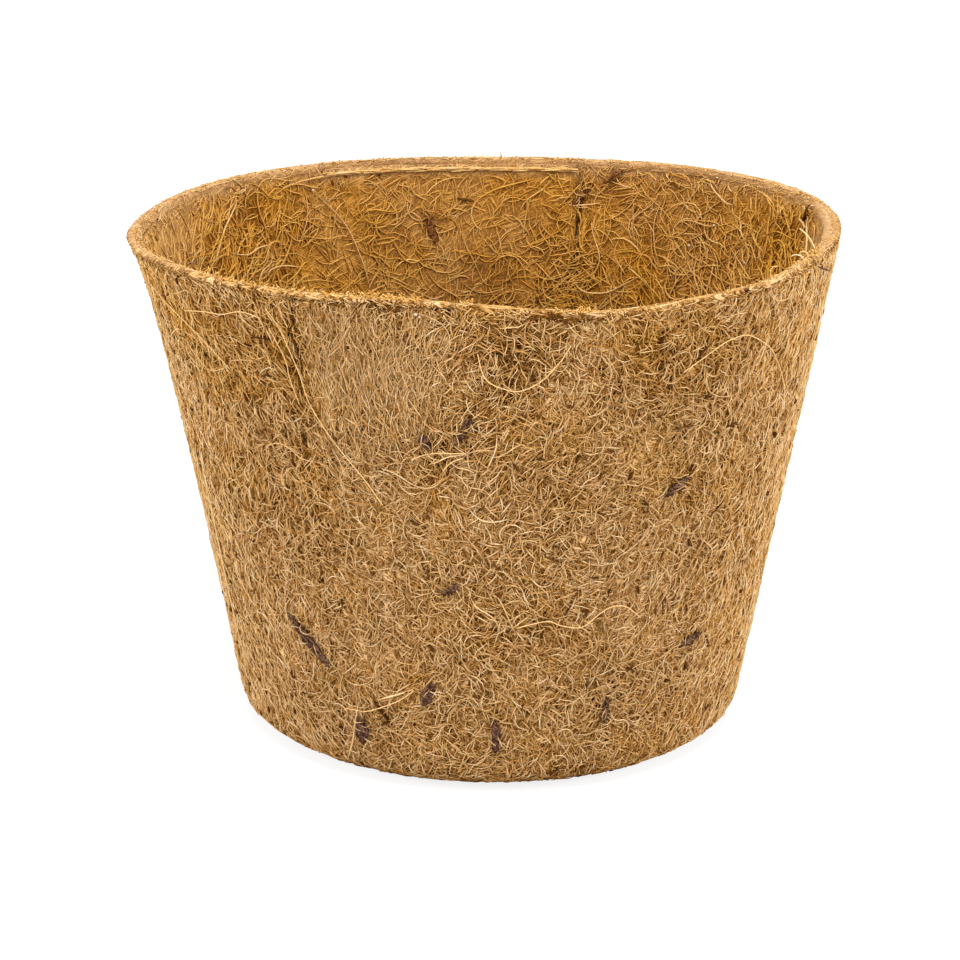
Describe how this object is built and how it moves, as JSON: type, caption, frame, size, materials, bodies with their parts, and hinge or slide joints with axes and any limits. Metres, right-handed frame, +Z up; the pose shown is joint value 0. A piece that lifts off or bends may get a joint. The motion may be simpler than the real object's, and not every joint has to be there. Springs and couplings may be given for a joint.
{
  "type": "coir plant pot",
  "caption": "Tapered round plant pot of pressed coir felt, open at the top, with lapped wall blanks, a seated base disc, loose fibres and husk chips.",
  "frame": {"origin": "centre of the base disc's flat underside, on the surface that the pot stands on", "axes": "+Z up along the pot's axis; -Y towards the side with the outer lap edge at its left; +X to the right seen from there"},
  "size_m": [0.1244, 0.1136, 0.0896],
  "materials": {
    "coir_felt": "needle-felted coir bonded with latex, hot-pressed, matte and fibrous, golden brown with dark gaps between the fibres",
    "loose_coir": "single coir fibres, golden tan, slightly glossy",
    "husk": "flakes of coconut husk and skin, dark purplish brown, dull"
  },
  "bodies": {
    "root": {"front_wall_blank": "coir_felt", "rear_wall_blank": "coir_felt", "base_disc": "coir_felt", "long_diagonal_fibre": "loose_coir", "short_diagonal_fibre": "loose_coir", "right_loop_fibre": "loose_coir", "middle_arc_fibre": "loose_coir", "low_wavy_fibre": "loose_coir", "upper_fan_fibre": "loose_coir", "lower_fan_fibre": "loose_coir", "rim_side_fibre": "loose_coir", "left_slanting_fibre": "loose_coir", "foot_fibre": "loose_coir", "inner_left_arc_fibre": "loose_coir", "inner_back_fibre": "loose_coir", "inner_right_fibre": "loose_coir", "large_husk_chip": "husk", "foot_husk_chip": "husk", "low_middle_husk_chip": "husk", "low_slim_husk_chip": "husk", "centre_husk_chip": "husk", "upper_small_husk_chip": "husk", "upper_middle_husk_chip": "husk", "right_husk_chip": "husk", "low_right_husk_chip": "husk", "right_foot_husk_chip": "husk", "inner_husk_chip": "husk", "inner_seam_husk_chip": "husk", "inner_rim_husk_chip": "husk"}
  },
  "joints": []
}
